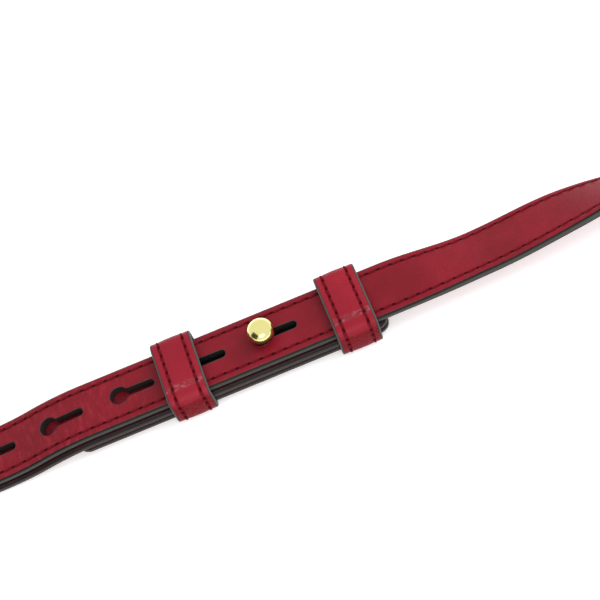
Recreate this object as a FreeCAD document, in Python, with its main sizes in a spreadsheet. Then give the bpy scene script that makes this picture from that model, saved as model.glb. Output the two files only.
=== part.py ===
import FreeCAD, Part

"""Two-part adjustable guitar strap of stitched leather with a ball stud.

The tail strap lies underneath and carries a ball stud. The long strap lies on
top of it, and one of its keyholes is pushed over the ball. Two leather keepers
hold the layers together. Beyond the adjuster the long strap turns on to its
edge and is stored as a double spiral, with its button hole at the free end.

Origin: axis of the tail strap's button hole, on the surface that it lies on.
+X runs along the strap towards the stud and the coil, +Z is up. Millimetres.
"""
import math
import os
import Sketcher

V = FreeCAD.Vector
X_AXIS = V(1, 0, 0)
Z_AXIS = V(0, 0, 1)

SIZES = [
    # alias, value, what it is
    ("strap_width", 20.0, "width of both straps and of the backing patch"),
    ("ply_thick", 1.6, "one leather ply; each strap is a face ply and a lining ply"),
    ("thread_proud", 0.25, "how far a row of stitching stands above the leather"),
    ("thread_width", 0.7, "width of a row of stitching"),
    ("thread_inset", 2.7, "strap edge to the middle of the row"),
    ("end_corner", 8.0, "corner radius of the strap ends"),
    ("button_margin", 13.0, "button hole axis to the end of the strap"),
    ("button_hole_dia", 8.0, "hole that goes over the guitar's strap button"),
    ("button_slit_reach", 11.0, "button hole axis to the end of its slit"),
    ("button_slit_width", 1.0, "width of that slit"),
    ("stud_run", 190.0, "tail button hole axis to the stud axis"),
    ("tip_reach", 40.0, "stud axis to the tip of the tail strap and patch"),
    ("tip_corner", 4.0, "corner radius of the tip and of the patch"),
    ("patch_thick", 2.4, "backing patch under the tail strap"),
    ("patch_reach", 59.0, "stud axis to the other end of the patch"),
    ("under_shift", 0.8, "tail strap and patch stand out this far on the -Y side"),
    ("keyhole_count", 6, "keyholes in the long strap"),
    ("keyhole_pitch", 25.0, "spacing of the keyholes"),
    ("keyhole_dia", 6.3, "round part, which holds the neck of the stud"),
    ("keyhole_slot_width", 3.0, "slot that lets the ball through"),
    ("keyhole_play", 0.6, "the stud sits this far from the middle of its keyhole, towards the slot"),
    ("keyhole_slot_reach", 12.35, "middle of the round part to the end of the slot"),
    ("free_end_margin", 20.0, "last keyhole to the free end of the long strap"),
    ("bend_start", 62.0, "stud axis to the bend that takes the straps down"),
    ("bend_run", 36.0, "length of that bend"),
    ("twist_start", 42.5, "stud axis to the start of the quarter twist"),
    ("twist_run", 132.5, "length of the twist"),
    ("settle_angle", 12.5, "tilt that the strap takes up first, in degrees"),
    ("twist_sag", 2.0, "how far the strap sinks just past the tail strap's tip"),
    ("twist_drift", 2.8, "sideways run of the strap over the twist"),
    ("coil_lead", 20.0, "straight stretch between the twist and the coil"),
    ("coil_core_rad", 12.0, "radius of the two bends at the heart of the coil"),
    ("coil_pitch", 4.2, "spacing of neighbouring strands of the coil"),
    ("coil_half_turns", 3, "half turns in each arm of the coil"),
    ("far_run", 48.0, "middle of the coil to the axis of the far button hole"),
    ("keeper_length", 14.2, "keeper, along the strap"),
    ("keeper_thick", 1.5, "leather of the keepers"),
    ("keeper_corner", 2.3, "outer corner radius of the keepers"),
    ("keeper_left_at", 29.0, "stud axis to the middle of the left keeper"),
    ("keeper_right_at", 29.0, "stud axis to the middle of the right keeper"),
    ("keeper_clear", 0.3, "gap between keeper and straps, below and on the -Y side"),
    ("keeper_far_clear", 1.6, "gap on the +Y side"),
    ("keeper_top_clear", 1.4, "gap above the stitching"),
    ("keeper_thread_proud", 0.2, "stitching of the keepers above their leather"),
    ("keeper_thread_inset", 2.9, "keeper edge to the middle of its row of stitching"),
    ("ball_dia", 9.2, "head of the stud"),
    ("ball_height", 7.6, "height of that head"),
    ("ball_steps", 9, "short tapers that the head's outline is turned in"),
    ("ball_middle", 3.5, "middle of the head above the long strap"),
    ("neck_dia", 4.8, "neck and shank of the stud"),
    ("shank_clear", 0.1, "radial gap round the shank in the tail strap"),
    ("screw_head_dia", 10.0, "head of the screw behind the tail strap"),
    ("screw_head_thick", 1.0, "thickness of that head"),
    ("screw_dia", 3.0, "thread of the screw"),
    ("screw_length", 5.0, "screw below its head"),
    ("driver_slot_width", 1.2, "slot for the screwdriver across that head"),
    ("driver_slot_depth", 0.5, "depth of that slot"),
    ("screw_pocket_clear", 0.2, "gap round and over the screw head in the patch"),
]

doc = FreeCAD.newDocument("guitar_strap")
sheet = doc.addObject("Spreadsheet::Sheet", "Sizes")
for row, (alias, value, note) in enumerate(SIZES, start=1):
    sheet.set("A%d" % row, alias)
    sheet.set("B%d" % row, str(value))
    sheet.set("C%d" % row, note)
    sheet.setAlias("B%d" % row, alias)
doc.recompute()


def size(alias):
    """Value of one cell of the sheet."""
    return float(sheet.get(alias))


# ---------------------------------------------------------------- heights and places
WIDTH = size("strap_width")
PLY = size("ply_thick")
PROUD = size("thread_proud")
STRAP = 2 * PLY
STUD_X = size("stud_run")
PATCH_Z = size("keeper_thread_proud") + size("keeper_thick") + size("keeper_clear")
TAIL_Z = PATCH_Z + size("patch_thick")                    # underside of the tail strap
TAIL_Z_EXPRESSION = ("Sizes.keeper_thread_proud + Sizes.keeper_thick"
                     " + Sizes.keeper_clear + Sizes.patch_thick")
LONG_Z = TAIL_Z + STRAP + PROUD                           # underside of the long strap
TWIST_X = STUD_X + size("twist_start")
COIL_X = TWIST_X + size("twist_run") + size("coil_lead")
ROW_OFFSET = WIDTH / 2 - size("thread_inset")
DEEP = 3 * WIDTH                                          # cutting tools, longer than any wall


# ---------------------------------------------------------------- flat bands
def side_edges(path, start, offset):
    """Edges of a path of straights and arcs, moved sideways by an offset.

    A step is ("line", length) or ("arc", radius, degrees), and degrees are
    positive to the left. The path starts at start, a 2-D point, along +X.
    """
    x, y = start
    heading = 0.0
    edges = []
    for step in path:
        left = heading + math.pi / 2
        here = V(x + offset * math.cos(left), y + offset * math.sin(left), 0)
        if step[0] == "line":
            x += step[1] * math.cos(heading)
            y += step[1] * math.sin(heading)
            there = V(x + offset * math.cos(left), y + offset * math.sin(left), 0)
            edges.append(Part.LineSegment(here, there).toShape())
            continue
        turn = math.radians(step[2])
        side = math.copysign(1.0, turn)
        centre_x = x + side * step[1] * math.cos(left)
        centre_y = y + side * step[1] * math.sin(left)
        reach = step[1] - side * offset
        points = []
        for share in (0.0, 0.5, 1.0):
            spoke = left + math.pi * (side > 0) + turn * share
            points.append(V(centre_x + reach * math.cos(spoke), centre_y + reach * math.sin(spoke), 0))
        edges.append(Part.Arc(*points).toShape())
        heading += turn
        spoke = left + math.pi * (side > 0) + turn
        x = centre_x + step[1] * math.cos(spoke)
        y = centre_y + step[1] * math.sin(spoke)
    return edges


def band(path, start, low, high, depth_from, depth_to):
    """Solid between two offsets of a path, drawn in XY and raised along Z."""
    inner = side_edges(path, start, low)
    outer = side_edges(path, start, high)
    caps = [
        Part.LineSegment(inner[0].Vertexes[0].Point, outer[0].Vertexes[0].Point).toShape(),
        Part.LineSegment(inner[-1].Vertexes[-1].Point, outer[-1].Vertexes[-1].Point).toShape(),
    ]
    wire = Part.Wire(Part.__sortEdges__(inner + outer + caps))
    face = Part.Face(wire)
    face.translate(V(0, 0, depth_from))
    return face.extrude(V(0, 0, depth_to - depth_from))


def lying(shape):
    """Turn a band drawn in XY so that its offsets run up +Z and its depth across -Y."""
    turned = shape.copy()
    turned.rotate(V(0, 0, 0), X_AXIS, 90)
    return turned


def flat_path(first_x, last_x):
    """Underside of the tail strap, in XZ: on the surface, up the bend, along the stack.

    The bend is two equal arcs: angle 2 atan(rise / run), radius run / (2 sin angle).
    """
    rise = TAIL_Z
    run = size("bend_run")
    angle = 2 * math.atan(rise / run)
    radius = run / (2 * math.sin(angle))
    low_end = STUD_X - size("bend_start") - run
    return [
        ("line", low_end - first_x),
        ("arc", radius, math.degrees(angle)),
        ("arc", radius, -math.degrees(angle)),
        ("line", last_x - low_end - run),
    ]


def flat_run(first_x, last_x, low, high, side_from, side_to):
    """Lying part of a layer, from first_x to last_x."""
    return lying(band(flat_path(first_x, last_x), (first_x, 0.0), low, high, -side_to, -side_from))


# ---------------------------------------------------------------- the quarter twist
def smooth(value):
    """Smooth step from 0 to 1, flat at both ends."""
    value = min(max(value, 0.0), 1.0)
    return value * value * (3 - 2 * value)


def twist_frame(share):
    """Angle, middle height and middle side of the long strap at a share of the twist.

    The strap first tilts by the settle angle, then turns the rest of 90 degrees. Its
    middle also rises by the ply times the cosine, so that no corner dips below the end.
    """
    settle = size("settle_angle")
    angle = settle * smooth(share / 0.25) + (90 - settle) * smooth((share - 0.3) / 0.7) ** 1.5
    start_z = LONG_Z + PLY
    sag = size("twist_sag") * math.sin(math.pi * min(share / 0.5, 1.0)) ** 2
    lift = PLY * math.cos(math.radians(angle)) * smooth(share)
    height = start_z + (WIDTH / 2 - start_z) * smooth(share) - sag + lift
    return math.radians(angle), height, size("twist_drift") * smooth(share)


def twist_run(low, high, side_from, side_to):
    """Loft of one layer through turned rectangles; low and high are measured from its middle."""
    sections = []
    stations = 16
    for number in range(stations + 1):
        share = number / stations
        angle, height, drift = twist_frame(share)
        x = TWIST_X + size("twist_run") * share
        middle = V(x, drift, height)
        across = V(0, math.cos(angle), -math.sin(angle))
        normal = V(0, math.sin(angle), math.cos(angle))
        corners = [
            middle + across * side_from + normal * low,
            middle + across * side_to + normal * low,
            middle + across * side_to + normal * high,
            middle + across * side_from + normal * high,
        ]
        sections.append(Part.makePolygon(corners + corners[:1]))
    return Part.makeLoft(sections, True, False)


# ---------------------------------------------------------------- the coil
def coil_path():
    """Plan of the stored length: an arm in, an S, and an arm out.

    The S is two half circles of radius core. Half turn number k of each arm has
    the radius 2 core + (k - 1/2) pitch, so that neighbouring strands lie one pitch apart.
    """
    core = size("coil_core_rad")
    pitch = size("coil_pitch")
    arm = [2 * core + (k + 0.5) * pitch for k in range(int(size("coil_half_turns")))]
    way_in = [("arc", radius, -180.0) for radius in reversed(arm)]
    heart = [("arc", core, -180.0), ("arc", core, 180.0)]
    way_out = [("arc", radius, 180.0) for radius in arm]
    lead = [("line", size("coil_lead"))]
    far_end = [("line", size("far_run") + size("button_margin"))]
    return lead + way_in + heart + way_out + far_end


def far_side():
    """Y of the strand that leaves the coil."""
    arm_steps = size("coil_half_turns") * size("coil_pitch")
    return size("twist_drift") - 4 * size("coil_core_rad") - 2 * arm_steps


def coil_run(low, high, side_from, side_to):
    """Standing part of a layer; its +Y side is the strap's face."""
    start = (TWIST_X + size("twist_run"), size("twist_drift"))
    return band(coil_path(), start, low, high, WIDTH / 2 - side_to, WIDTH / 2 - side_from)


# ---------------------------------------------------------------- cutting tools
def corner_tools(end_x, radius, shift, inward):
    """Two prisms that round the corners of a lying end at end_x; inward is +1 or -1."""
    tools = []
    for side in (-1, 1):
        centre = V(end_x + inward * radius, shift + side * (WIDTH / 2 - radius), -DEEP / 2)
        block = Part.makeBox(radius + 1, radius + 1, DEEP)
        block.translate(V(0 if inward < 0 else -radius - 1, 0 if side > 0 else -radius - 1, 0))
        block.translate(centre)
        tools.append(block.cut(Part.makeCylinder(radius, DEEP, centre, Z_AXIS)))
    return tools


def button_tool(x, y, inward):
    """Round hole with a narrow slit towards the strap, along Z."""
    hole = Part.makeCylinder(size("button_hole_dia") / 2, DEEP, V(x, y, -DEEP / 2), Z_AXIS)
    reach = size("button_slit_reach")
    half = size("button_slit_width") / 2
    slit = Part.makeBox(reach, 2 * half, DEEP, V(min(0, inward * reach), -half, -DEEP / 2))
    slit.translate(V(x, y, 0))
    return hole.fuse(slit)


def stand_on_edge(tool, x, y):
    """Turn a lying tool about a line along X, so that it cuts a standing strap."""
    turned = tool.copy()
    turned.rotate(V(x, 0, 0), X_AXIS, 90)
    turned.translate(V(0, y, WIDTH / 2))
    return turned


def keyhole_tools():
    """One keyhole per pitch from the stud back towards the free end."""
    tools = []
    half = size("keyhole_slot_width") / 2
    straight = size("keyhole_slot_reach") - half
    for number in range(int(size("keyhole_count"))):
        x = STUD_X - size("keyhole_play") - number * size("keyhole_pitch")
        tool = Part.makeCylinder(size("keyhole_dia") / 2, DEEP, V(x, 0, -DEEP / 2), Z_AXIS)
        slot = Part.makeBox(straight, 2 * half, DEEP, V(x, -half, -DEEP / 2))
        end = Part.makeCylinder(half, DEEP, V(x + straight, 0, -DEEP / 2), Z_AXIS)
        tools.append(tool.fuse([slot, end]).removeSplitter())
    return tools


# ---------------------------------------------------------------- the leather layers
def long_ply(level):
    """One ply of the long strap up to the twist, with its keyholes and its rounded free end.

    level is the height of the ply's underside above the strap's own underside.
    """
    first_x = long_first_x()
    low = LONG_Z - TAIL_Z + level
    ply = flat_run(first_x, TWIST_X, low, low + PLY, -WIDTH / 2, WIDTH / 2)
    return ply.cut(keyhole_tools() + corner_tools(first_x, size("end_corner"), 0, 1))


def stored_length():
    """Both plies from the start of the twist to the rounded far end, as the one strap they make.

    The button hole near that end has its slit towards the strap.
    """
    end_x = far_end_x()
    turned = twist_run(-PLY, PLY, -WIDTH / 2, WIDTH / 2)
    strap = turned.fuse(coil_run(-PLY, PLY, -WIDTH / 2, WIDTH / 2)).removeSplitter()
    tools = [button_tool(end_x - size("button_margin"), 0, -1)]
    tools += corner_tools(end_x, size("end_corner"), 0, -1)
    return strap.cut([limit_far(stand_on_edge(tool, end_x, far_side()), end_x) for tool in tools])


def far_end_x():
    """X of the far end of the long strap."""
    return COIL_X + size("far_run") + size("button_margin")


def limit_far(tool, end_x):
    """Keep only the part of a standing tool that reaches the far end and not the coil."""
    reach = 3 * STRAP
    room = Part.makeBox(DEEP, reach, DEEP, V(end_x - DEEP / 2, far_side() - reach / 2, -DEEP / 4))
    return tool.common(room)


def long_first_x():
    """X of the free end of the long strap."""
    last_keyhole = STUD_X - size("keyhole_play") - (size("keyhole_count") - 1) * size("keyhole_pitch")
    return last_keyhole - size("free_end_margin")


def long_thread(side):
    """One row of stitching on the face of the long strap; side is -1 or +1."""
    middle = side * ROW_OFFSET
    half = size("thread_width") / 2
    first_x = long_first_x() + size("end_corner")
    low = LONG_Z - TAIL_Z + STRAP
    return flat_run(first_x, TWIST_X, low, low + PROUD, middle - half, middle + half)


def tail_ply(level):
    """One ply of the tail strap with its button hole, stud hole and rounded ends."""
    first_x = -size("button_margin")
    last_x = STUD_X + size("tip_reach")
    shift = -size("under_shift")
    ply = flat_run(first_x, last_x, level, level + PLY, shift - WIDTH / 2, shift + WIDTH / 2)
    hole_rad = size("neck_dia") / 2 + size("shank_clear")
    tools = [Part.makeCylinder(hole_rad, DEEP, V(STUD_X, 0, -DEEP / 2), Z_AXIS)]
    tools += [button_tool(0, 0, 1)]
    tools += corner_tools(first_x, size("end_corner"), shift, 1)
    tools += corner_tools(last_x, size("tip_corner"), shift, -1)
    return ply.cut(tools)


def tail_thread(side):
    """One row of stitching on the face of the tail strap, which the long strap lies on."""
    middle = side * ROW_OFFSET - size("under_shift")
    half = size("thread_width") / 2
    first_x = -size("button_margin") + size("end_corner")
    last_x = STUD_X + size("tip_reach") - size("tip_corner")
    return flat_run(first_x, last_x, STRAP, STRAP + PROUD, middle - half, middle + half)


def feature(name, shape):
    """Add a shape that code has made as a sub-part of the document."""
    item = doc.addObject("Part::Feature", name)
    item.Shape = shape
    item.Placement = shape.Placement
    return item


# ---------------------------------------------------------------- sketches
def origin_plane(body, role):
    """A body's own origin plane, found by its role."""
    return [plane for plane in body.Origin.OriginFeatures if plane.Role == role][0]


def sketch_on(body, role, name):
    """New sketch on one of the body's origin planes."""
    sketch = body.newObject("Sketcher::SketchObject", name)
    sketch.AttachmentSupport = [(origin_plane(body, role), "")]
    sketch.MapMode = "FlatFace"
    return sketch


def bind(sketch, constraint, name, expression):
    """Add a named constraint and tie it to the sheet."""
    number = sketch.addConstraint(constraint)
    sketch.renameConstraint(number, name)
    sketch.setExpression("Constraints." + name, expression)


def rounded_outline(sketch, tag, box, radius, expressions, radius_expression):
    """Closed outline with four equal corner arcs; box is (left, right, bottom, top)."""
    left, right, bottom, top = box
    first = sketch.GeometryCount
    ends = [
        (V(left + radius, bottom, 0), V(right - radius, bottom, 0)),
        (V(right, bottom + radius, 0), V(right, top - radius, 0)),
        (V(right - radius, top, 0), V(left + radius, top, 0)),
        (V(left, top - radius, 0), V(left, bottom + radius, 0)),
    ]
    for start, end in ends:
        sketch.addGeometry(Part.LineSegment(start, end), False)
    centres = [
        (V(right - radius, bottom + radius, 0), -0.5),
        (V(right - radius, top - radius, 0), 0.0),
        (V(left + radius, top - radius, 0), 0.5),
        (V(left + radius, bottom + radius, 0), 1.0),
    ]
    for centre, turn in centres:
        circle = Part.Circle(centre, Z_AXIS, radius)
        sketch.addGeometry(Part.ArcOfCircle(circle, turn * math.pi, (turn + 0.5) * math.pi), False)
    for number in range(4):
        line = first + number
        arc = first + 4 + number
        after = first + (number + 1) % 4
        sketch.addConstraint(Sketcher.Constraint("Tangent", line, 2, arc, 1))
        sketch.addConstraint(Sketcher.Constraint("Tangent", arc, 2, after, 1))
        sketch.addConstraint(Sketcher.Constraint("Horizontal" if number % 2 == 0 else "Vertical", line))
    for number in range(1, 4):
        sketch.addConstraint(Sketcher.Constraint("Equal", first + 4, first + 4 + number))
    values = [("DistanceX", first + 3, left), ("DistanceX", first + 1, right),
              ("DistanceY", first, bottom), ("DistanceY", first + 2, top)]
    for (kind, line, value), name, expression in zip(values, ("left", "right", "bottom", "top"), expressions):
        constraint = Sketcher.Constraint(kind, -1, 1, line, 1, value)
        bind(sketch, constraint, tag + "_" + name, expression)
    bind(sketch, Sketcher.Constraint("Radius", first + 4, radius), tag + "_corner", radius_expression)


# ---------------------------------------------------------------- patch, keepers, stud, screw
def make_patch():
    """Backing patch: a rounded pad with a pocket for the head of the screw."""
    body = doc.addObject("PartDesign::Body", "backing_patch")
    outline = sketch_on(body, "XY_Plane", "patch_outline")
    box = (-size("patch_reach"), size("tip_reach"), -WIDTH / 2, WIDTH / 2)
    rounded_outline(outline, "patch", box, size("tip_corner"),
                    ["-Sizes.patch_reach", "Sizes.tip_reach",
                     "-Sizes.strap_width / 2", "Sizes.strap_width / 2"], "Sizes.tip_corner")
    pad = body.newObject("PartDesign::Pad", "patch_pad")
    pad.Profile = outline
    pad.setExpression("Length", "Sizes.patch_thick")
    outline.Visibility = False
    doc.recompute()
    full = body.Shape.Volume
    seat = sketch_on(body, "XY_Plane", "screw_seat")
    seat.AttachmentOffset = FreeCAD.Placement(V(0, 0, size("patch_thick")), FreeCAD.Rotation())
    seat.setExpression(".AttachmentOffset.Base.z", "Sizes.patch_thick")
    seat.addGeometry(Part.Circle(V(0, size("under_shift"), 0), Z_AXIS, size("screw_head_dia") / 2), False)
    seat.addConstraint(Sketcher.Constraint("PointOnObject", 0, 3, -2))
    bind(seat, Sketcher.Constraint("DistanceY", -1, 1, 0, 3, size("under_shift")), "seat_shift",
         "Sizes.under_shift")
    bind(seat, Sketcher.Constraint("Radius", 0, size("screw_head_dia") / 2), "seat_radius",
         "Sizes.screw_head_dia / 2 + Sizes.screw_pocket_clear")
    pocket = body.newObject("PartDesign::Pocket", "screw_pocket")
    pocket.Profile = seat
    pocket.setExpression("Length", "Sizes.screw_head_thick + Sizes.screw_pocket_clear")
    doc.recompute()
    if body.Shape.Volume > full - 1.0:
        pocket.Reversed = True
        doc.recompute()
    body.setExpression(".Placement.Base.x", "Sizes.stud_run")
    body.setExpression(".Placement.Base.y", "-Sizes.under_shift")
    body.setExpression(".Placement.Base.z",
                       "Sizes.keeper_thread_proud + Sizes.keeper_thick + Sizes.keeper_clear")
    return body


def keeper_bounds(grow, grow_expression):
    """Inside of a keeper's loop in YZ, grown outwards, as numbers and as expressions."""
    stack = size("patch_thick") + 2 * STRAP + 2 * PROUD
    low_side = -WIDTH / 2 - size("under_shift") - size("keeper_clear") - grow
    high_side = WIDTH / 2 + size("keeper_far_clear") + grow
    low = PATCH_Z - size("keeper_clear") - grow
    high = PATCH_Z + stack + size("keeper_top_clear") + grow
    floor = "Sizes.keeper_thread_proud + Sizes.keeper_thick"
    expressions = [
        "-(Sizes.strap_width / 2 + Sizes.under_shift + Sizes.keeper_clear + %s)" % grow_expression,
        "Sizes.strap_width / 2 + Sizes.keeper_far_clear + %s" % grow_expression,
        "%s - (%s)" % (floor, grow_expression),
        "%s + Sizes.keeper_clear + Sizes.patch_thick + 4 * Sizes.ply_thick + 2 * Sizes.thread_proud"
        " + Sizes.keeper_top_clear + %s" % (floor, grow_expression),
    ]
    return (low_side, high_side, low, high), expressions


def ring_body(name, inner, outer, length, inner_corner, outer_corner):
    """Closed loop round the straps, drawn in YZ and raised along X from its own origin."""
    body = doc.addObject("PartDesign::Body", name)
    profile = sketch_on(body, "YZ_Plane", name + "_profile")
    for tag, (grow, grow_expression), (corner, corner_expression) in (
            ("outer", outer, outer_corner), ("inner", inner, inner_corner)):
        box, expressions = keeper_bounds(grow, grow_expression)
        rounded_outline(profile, tag, box, corner, expressions, corner_expression)
    pad = body.newObject("PartDesign::Pad", name + "_pad")
    pad.Profile = profile
    pad.setExpression("Length", length)
    profile.Visibility = False
    return body


def make_keeper(name, middle_expression):
    """A keeper and its two rows of stitching, all on one loop."""
    thick = size("keeper_thick")
    proud = size("keeper_thread_proud")
    corner = size("keeper_corner")
    leather = (thick, "Sizes.keeper_thick")
    thread = (thick + proud, "Sizes.keeper_thick + Sizes.keeper_thread_proud")
    outside = (corner, "Sizes.keeper_corner")
    loop = ring_body(name, (0.0, "0"), leather, "Sizes.keeper_length",
                     (corner - thick, "Sizes.keeper_corner - Sizes.keeper_thick"), outside)
    loop.setExpression(".Placement.Base.x", "%s - Sizes.keeper_length / 2" % middle_expression)
    made = [loop]
    for label, side in (("a", "-"), ("b", "+")):
        row = ring_body("%s_thread_%s" % (name, label), leather, thread, "Sizes.thread_width", outside,
                        (corner + proud, "Sizes.keeper_corner + Sizes.keeper_thread_proud"))
        place = "%s %s (Sizes.keeper_length / 2 - Sizes.keeper_thread_inset) - Sizes.thread_width / 2"
        row.setExpression(".Placement.Base.x", place % (middle_expression, side))
        made.append(row)
    return made


def head_points(middle, neck):
    """Points of half the ball's section, from the neck over the shoulder to the top.

    A superellipse of power 2.15 through rim and top, cut off where it meets the neck.
    """
    rim = size("ball_dia") / 2
    half = size("ball_height") / 2
    power = 2 / 2.15
    start = -math.acos((neck / rim) ** (1 / power))
    steps = int(size("ball_steps"))
    points = []
    for number in range(steps + 1):
        angle = start + (math.pi / 2 - start) * number / steps
        across = rim * max(math.cos(angle), 0.0) ** power
        rise = half * math.copysign(abs(math.sin(angle)) ** power, angle)
        points.append(V(across, 0, middle + rise))
    points[-1] = V(0, 0, middle + half)
    return points


def make_stud():
    """Ball stud: rounded head on a neck, with a threaded bore from below.

    Half its section is turned about the axis: foot, neck, head in short tapers, bore.
    """
    middle = 2 * STRAP + PROUD + size("ball_middle")
    neck = size("neck_dia") / 2
    bore = size("screw_dia") / 2
    depth = size("screw_length") + size("screw_pocket_clear")
    outline = [V(bore, 0, 0), V(neck, 0, 0)] + head_points(middle, neck)
    outline += [V(0, 0, depth), V(bore, 0, depth), V(bore, 0, 0)]
    stud = Part.Face(Part.makePolygon(outline)).revolve(V(0, 0, 0), Z_AXIS, 360)
    stud = feature("stud_ball", stud)
    stud.setExpression(".Placement.Base.x", "Sizes.stud_run")
    stud.setExpression(".Placement.Base.z", TAIL_Z_EXPRESSION)
    return stud


def turned_body(body, profile):
    """Turn a profile once round the upright axis and set the body on the tail strap."""
    turned = body.newObject("PartDesign::Revolution", body.Name + "_turned")
    turned.Profile = profile
    turned.ReferenceAxis = (profile, ["V_Axis"])
    turned.Angle = 360
    profile.Visibility = False
    body.setExpression(".Placement.Base.x", "Sizes.stud_run")
    body.setExpression(".Placement.Base.z", TAIL_Z_EXPRESSION)
    return body


def make_screw():
    """Flat-headed screw from behind the tail strap into the stud, with a driver slot."""
    body = doc.addObject("PartDesign::Body", "stud_screw")
    profile = sketch_on(body, "XZ_Plane", "screw_profile")
    head_rad = size("screw_head_dia") / 2
    rad = size("screw_dia") / 2
    thick = size("screw_head_thick")
    reach = size("screw_length")
    points = [V(0, -thick, 0), V(head_rad, -thick, 0), V(head_rad, 0, 0),
              V(rad, 0, 0), V(rad, reach, 0), V(0, reach, 0)]
    for number, point in enumerate(points):
        profile.addGeometry(Part.LineSegment(point, points[(number + 1) % len(points)]), False)
    for number in range(len(points)):
        profile.addConstraint(Sketcher.Constraint("Coincident", number, 2, (number + 1) % len(points), 1))
        profile.addConstraint(Sketcher.Constraint("Horizontal" if number % 2 == 0 else "Vertical", number))
    profile.addConstraint(Sketcher.Constraint("PointOnObject", 0, 1, -2))
    profile.addConstraint(Sketcher.Constraint("PointOnObject", 2, 1, -1))
    bind(profile, Sketcher.Constraint("DistanceX", 0, 1, 0, 2, head_rad), "head_radius",
         "Sizes.screw_head_dia / 2")
    bind(profile, Sketcher.Constraint("DistanceY", 1, 1, 1, 2, thick), "head_thick",
         "Sizes.screw_head_thick")
    bind(profile, Sketcher.Constraint("DistanceX", 4, 2, 4, 1, rad), "thread_radius",
         "Sizes.screw_dia / 2")
    bind(profile, Sketcher.Constraint("DistanceY", 3, 1, 3, 2, reach), "reach", "Sizes.screw_length")
    turned_body(body, profile)
    doc.recompute()
    cut_driver_slot(body)
    return body


def cut_driver_slot(body):
    """Slot right across the screw's head, in from the side that faces the patch."""
    width = size("driver_slot_width")
    reach = size("screw_head_dia")
    slot = sketch_on(body, "YZ_Plane", "driver_slot")
    thick = size("screw_head_thick")
    box = (-width / 2, width / 2, -thick, size("driver_slot_depth") - thick)
    left, right, bottom, top = box
    corners = [V(left, bottom, 0), V(right, bottom, 0), V(right, top, 0), V(left, top, 0)]
    for number, corner in enumerate(corners):
        slot.addGeometry(Part.LineSegment(corner, corners[(number + 1) % 4]), False)
    for number in range(4):
        slot.addConstraint(Sketcher.Constraint("Coincident", number, 2, (number + 1) % 4, 1))
        slot.addConstraint(Sketcher.Constraint("Horizontal" if number % 2 == 0 else "Vertical", number))
    bind(slot, Sketcher.Constraint("DistanceX", -1, 1, 3, 1, left), "left", "-Sizes.driver_slot_width / 2")
    bind(slot, Sketcher.Constraint("DistanceX", -1, 1, 1, 1, right), "right", "Sizes.driver_slot_width / 2")
    bind(slot, Sketcher.Constraint("DistanceY", -1, 1, 0, 1, bottom), "bottom", "-Sizes.screw_head_thick")
    bind(slot, Sketcher.Constraint("DistanceY", -1, 1, 2, 1, top), "top",
         "Sizes.driver_slot_depth - Sizes.screw_head_thick")
    pocket = body.newObject("PartDesign::Pocket", "driver_slot_pocket")
    pocket.Profile = slot
    pocket.Midplane = True
    pocket.Length = 2 * reach
    pocket.setExpression("Length", "2 * Sizes.screw_head_dia")
    slot.Visibility = False
    doc.recompute()


# ---------------------------------------------------------------- the assembly
pieces = [
    feature("long_strap_lining", long_ply(0.0)),
    feature("long_strap_face", long_ply(PLY)),
    feature("long_strap_thread_near", long_thread(-1)),
    feature("long_strap_thread_far", long_thread(1)),
    feature("stored_length", stored_length()),
    feature("tail_strap_lining", tail_ply(0.0)),
    feature("tail_strap_face", tail_ply(PLY)),
    feature("tail_strap_thread_near", tail_thread(-1)),
    feature("tail_strap_thread_far", tail_thread(1)),
    make_patch(),
    make_stud(),
    make_screw(),
]
pieces += make_keeper("keeper_left", "Sizes.stud_run - Sizes.keeper_left_at")
pieces += make_keeper("keeper_right", "Sizes.stud_run + Sizes.keeper_right_at")
doc.recompute()

for item in doc.Objects:
    if "Invalid" in item.State or "Error" in item.State:
        raise RuntimeError("%s failed: %s" % (item.Name, item.State))
for item in pieces:
    if item.Shape.isNull() or not item.Shape.isValid() or len(item.Shape.Solids) != 1:
        raise RuntimeError("%s is not one valid solid (%d)" % (item.Label, len(item.Shape.Solids)))

os.makedirs("parts", exist_ok=True)
for item in pieces:
    item.Label = item.Name
    item.Shape.exportStep("parts/%s.step" % item.Label)
    box = item.Shape.BoundBox
    print("%-26s %9.1f mm3  x %7.2f %7.2f  y %7.2f %7.2f  z %6.2f %6.2f" % (
        item.Label, item.Shape.Volume, box.XMin, box.XMax, box.YMin, box.YMax, box.ZMin, box.ZMax))
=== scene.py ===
# %% [markdown]
# # A stitched leather guitar strap with a ball stud
# The strap has two parts. The tail strap lies underneath and carries a brass ball stud,
# and the long strap lies on it with one keyhole pushed over the ball. Two leather keepers
# slide along the layers. Past the adjuster the long strap turns on to its edge and is
# stored as a double spiral. We start from the CAD model, which gives every place and size.

import math

import bmesh
import bpy
import numpy as np
from mathutils import Matrix, Vector


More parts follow.
